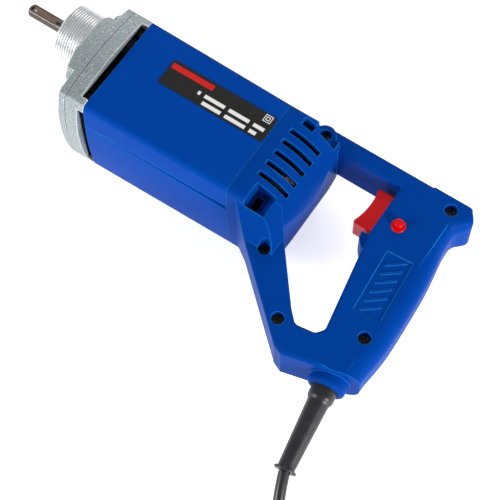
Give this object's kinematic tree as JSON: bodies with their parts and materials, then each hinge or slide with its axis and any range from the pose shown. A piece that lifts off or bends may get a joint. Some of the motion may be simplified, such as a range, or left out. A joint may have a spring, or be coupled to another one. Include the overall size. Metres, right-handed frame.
{
  "type": "concrete vibrator drive unit",
  "caption": "Hand-held drive unit of a concrete vibrator: barrel motor with cast gear head, threaded nose and spindle, D-handle with trigger and lock button, cord with plug.",
  "frame": {"origin": "centre of the threaded nose's front rim, on the spindle's axis", "axes": "+X forward along the spindle, +Y towards the foot of the handle, +Z out of the left side, which is the upper side as the tool lies"},
  "size_m": [0.3485, 0.3481, 0.082],
  "materials": {
    "bright_steel": "turned, zinc bright",
    "bearing_steel": "ground",
    "dark_steel": "hardened and oiled",
    "black_steel": "black oxide",
    "cast_alloy": "die cast and blasted",
    "lamination_steel": "varnished laminations",
    "enamelled_copper": "enamelled copper wire",
    "bare_copper": "turned copper",
    "brass_sheet": "pressed",
    "carbon": "carbon",
    "blue_plastic": "fine satin moulding",
    "red_plastic": "satin moulding",
    "black_plastic": "moulded",
    "yellow_plastic": "moulded",
    "label_foil": "printed foil",
    "black_rubber": "satin",
    "cord_sheath": "smooth PVC sheath",
    "tie_plastic": "soft strap"
  },
  "bodies": {
    "housing": {"threaded_nose": "bright_steel", "oil_seal": "black_rubber", "spindle_front_bearing": "bearing_steel", "spindle_rear_bearing": "bearing_steel", "front_cover": "cast_alloy", "gear_bracket": "cast_alloy", "flange_screws": "black_steel", "armature_front_bearing": "bearing_steel", "armature_rear_bearing": "bearing_steel", "stator_core": "lamination_steel", "field_coils": "enamelled_copper", "stator_screws": "bearing_steel", "air_baffle": "black_plastic", "end_bracket": "black_plastic", "brush_holders": "brass_sheet", "carbon_brushes": "carbon", "brush_springs": "bearing_steel", "motor_housing": "blue_plastic", "nameplate_label": "label_foil", "handle_left": "blue_plastic", "handle_right": "blue_plastic", "handle_screws": "black_steel", "trigger_spring": "bearing_steel", "switch_body": "black_plastic", "lock_collar": "red_plastic", "lock_spring": "bearing_steel", "suppression_capacitor": "yellow_plastic", "inner_lead": "cord_sheath", "cord_clamp": "black_plastic", "clamp_screws": "bearing_steel", "cord_boot": "black_rubber", "cord": "cord_sheath", "cord_coil": "cord_sheath", "cord_tail": "cord_sheath", "coil_tie": "tie_plastic", "plug_body": "black_rubber", "plug_pins": "brass_sheet"},
    "spindle": {"spindle": "dark_steel", "spindle_gear": "dark_steel", "gear_key": "dark_steel", "spindle_circlip": "bearing_steel"},
    "armature": {"armature_shaft": "dark_steel", "armature_core": "lamination_steel", "armature_windings": "enamelled_copper", "commutator": "bare_copper", "cooling_fan": "black_plastic"},
    "trigger": {"trigger": "red_plastic"},
    "lock_button": {"lock_button": "red_plastic"}
  },
  "joints": [
    {"name": "armature_spin", "type": "hinge", "parent": "housing", "child": "armature", "pos_m": [-0.1055, 0.0185, 0], "axis": [1, 0, 0], "continuous": true},
    {"name": "spindle_spin", "type": "hinge", "parent": "housing", "child": "spindle", "pos_m": [0, 0, 0], "axis": [1, 0, 0], "continuous": true},
    {"name": "trigger_pull", "type": "slide", "parent": "housing", "child": "trigger", "axis": [-1, 0, 0], "range_m": [0, 0.006], "stiffness_N_per_m": 800, "springref_m": -0.006, "deforming": ["trigger_spring"]},
    {"name": "lock_button_press", "type": "slide", "parent": "housing", "child": "lock_button", "axis": [0, 0, -1], "range_m": [0, 0.003], "stiffness_N_per_m": 500, "springref_m": -0.003, "deforming": ["lock_spring"]}
  ],
  "couplings": [
    {"joint": "spindle_spin", "follows": "armature_spin", "ratio": -0.48}
  ]
}
